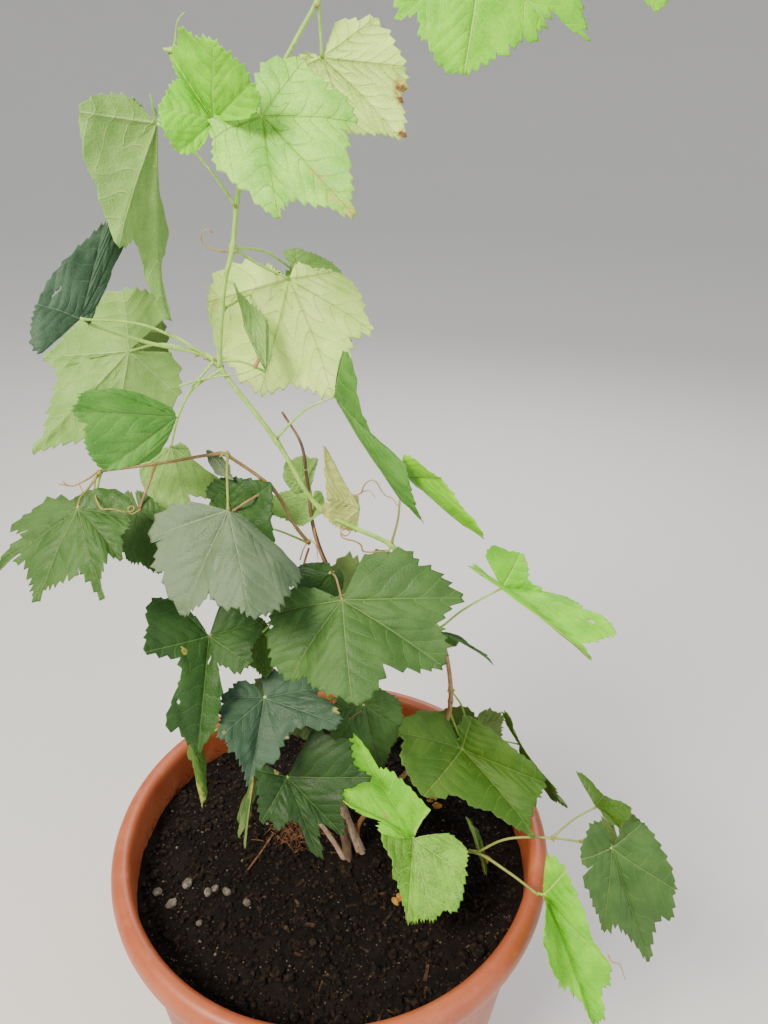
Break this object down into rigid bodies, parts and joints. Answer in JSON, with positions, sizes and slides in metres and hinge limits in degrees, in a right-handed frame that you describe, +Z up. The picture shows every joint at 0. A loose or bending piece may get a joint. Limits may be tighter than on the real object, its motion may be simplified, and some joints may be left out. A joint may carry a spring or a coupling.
{
  "type": "potted grapevine",
  "caption": "Young grapevine with lobed, toothed leaves climbing and arching from a round terracotta-coloured plastic pot filled with compost.",
  "frame": {"origin": "centre of the pot's flat underside, on the ground", "axes": "+Z up; +X to the right and -Y towards someone who looks at the side where the low shoot hangs over the rim on the right"},
  "size_m": [0.5201, 0.4, 1.0301],
  "materials": {
    "pot": "satin moulded plastic, terracotta colour",
    "compost": "dark crumbly compost, matt",
    "bark": "dry flaking bark, matt",
    "ripening_shoot": "ripening shoot, orange-brown, satin",
    "green_shoot": "green shoot, satin",
    "leaf": "green vine leaf, soft satin"
  },
  "bodies": {
    "root": {"pot": "pot", "compost": "compost", "trunk": "bark", "old_cane": "bark", "main_shoot_low": "ripening_shoot", "main_shoot_middle": "green_shoot", "main_shoot_top": "green_shoot", "main_shoot_tip": "green_shoot", "brown_shoot": "ripening_shoot", "left_shoot": "green_shoot", "low_right_shoot": "ripening_shoot", "low_right_branch": "green_shoot", "cut_stub_left": "bark", "arch_leaf": "leaf", "arch_end_leaf": "leaf", "upper_leaf": "leaf", "tip_leaf": "leaf", "young_leaf": "leaf", "hanging_left_leaf": "leaf", "dark_left_leaf": "leaf", "broad_left_leaf": "leaf", "left_low_leaf": "leaf", "middle_leaf": "leaf", "middle_back_leaf": "leaf", "strip_leaf": "leaf", "brown_tip_leaf": "leaf", "right_leaf": "leaf", "right_small_leaf": "leaf", "low_right_leaf": "leaf", "edge_leaf": "leaf", "far_right_small_leaf": "leaf", "far_right_leaf": "leaf", "rim_leaf": "leaf", "centre_leaf": "leaf", "broad_pale_leaf": "leaf", "far_left_leaf": "leaf", "left_shade_leaf": "leaf", "left_pale_back_leaf": "leaf", "left_lobed_leaf": "leaf", "blue_leaf": "leaf", "front_dark_leaf": "leaf", "shaded_leaf": "leaf", "lit_low_leaf": "leaf", "front_low_leaf": "leaf", "yellow_leaf": "leaf", "pale_back_leaf": "leaf", "back_top_leaf": "leaf", "back_arch_leaf": "leaf", "back_middle_leaf": "leaf", "back_left_leaf": "leaf", "back_shoulder_leaf": "leaf", "back_centre_leaf": "leaf", "back_low_leaf": "leaf", "back_low_left_leaf": "leaf", "back_far_left_leaf": "leaf", "back_foot_leaf": "leaf", "back_rim_leaf": "leaf"}
  },
  "joints": []
}
